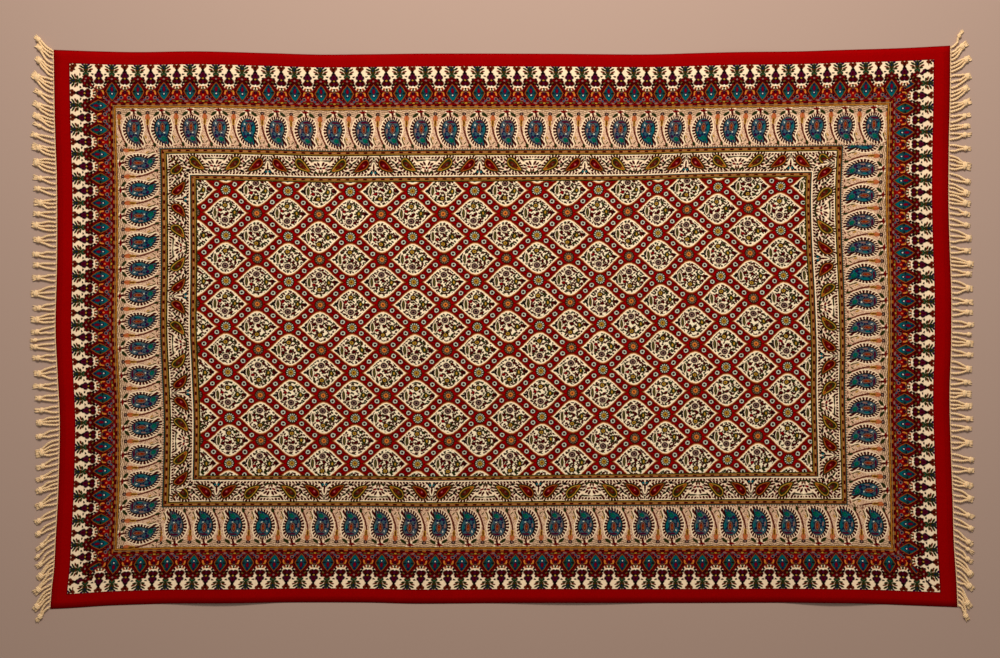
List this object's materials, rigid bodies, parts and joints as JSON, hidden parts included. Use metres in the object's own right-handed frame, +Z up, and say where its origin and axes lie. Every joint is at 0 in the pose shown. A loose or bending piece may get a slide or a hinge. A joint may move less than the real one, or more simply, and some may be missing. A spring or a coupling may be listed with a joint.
{
  "type": "fringed tablecloth",
  "caption": "Rectangular block-printed cotton tablecloth lying flat, with nested leaf, paisley and vine borders around a small-patterned field and knotted fringe at each short end.",
  "frame": {"origin": "middle of the cloth's underside, on the surface it lies on", "axes": "+X along the cloth's length towards the right-hand fringe, +Y across it towards the edge at the top of the picture, +Z up out of the printed face"},
  "size_m": [1.69, 1.0615, 0.0057],
  "materials": {
    "printed_cotton": "matte hand-printed cotton",
    "fringe_cotton": "matte undyed twisted cotton thread"
  },
  "bodies": {
    "root": {"cloth": "printed_cotton", "fringe_left": "fringe_cotton", "fringe_right": "fringe_cotton"}
  },
  "joints": []
}
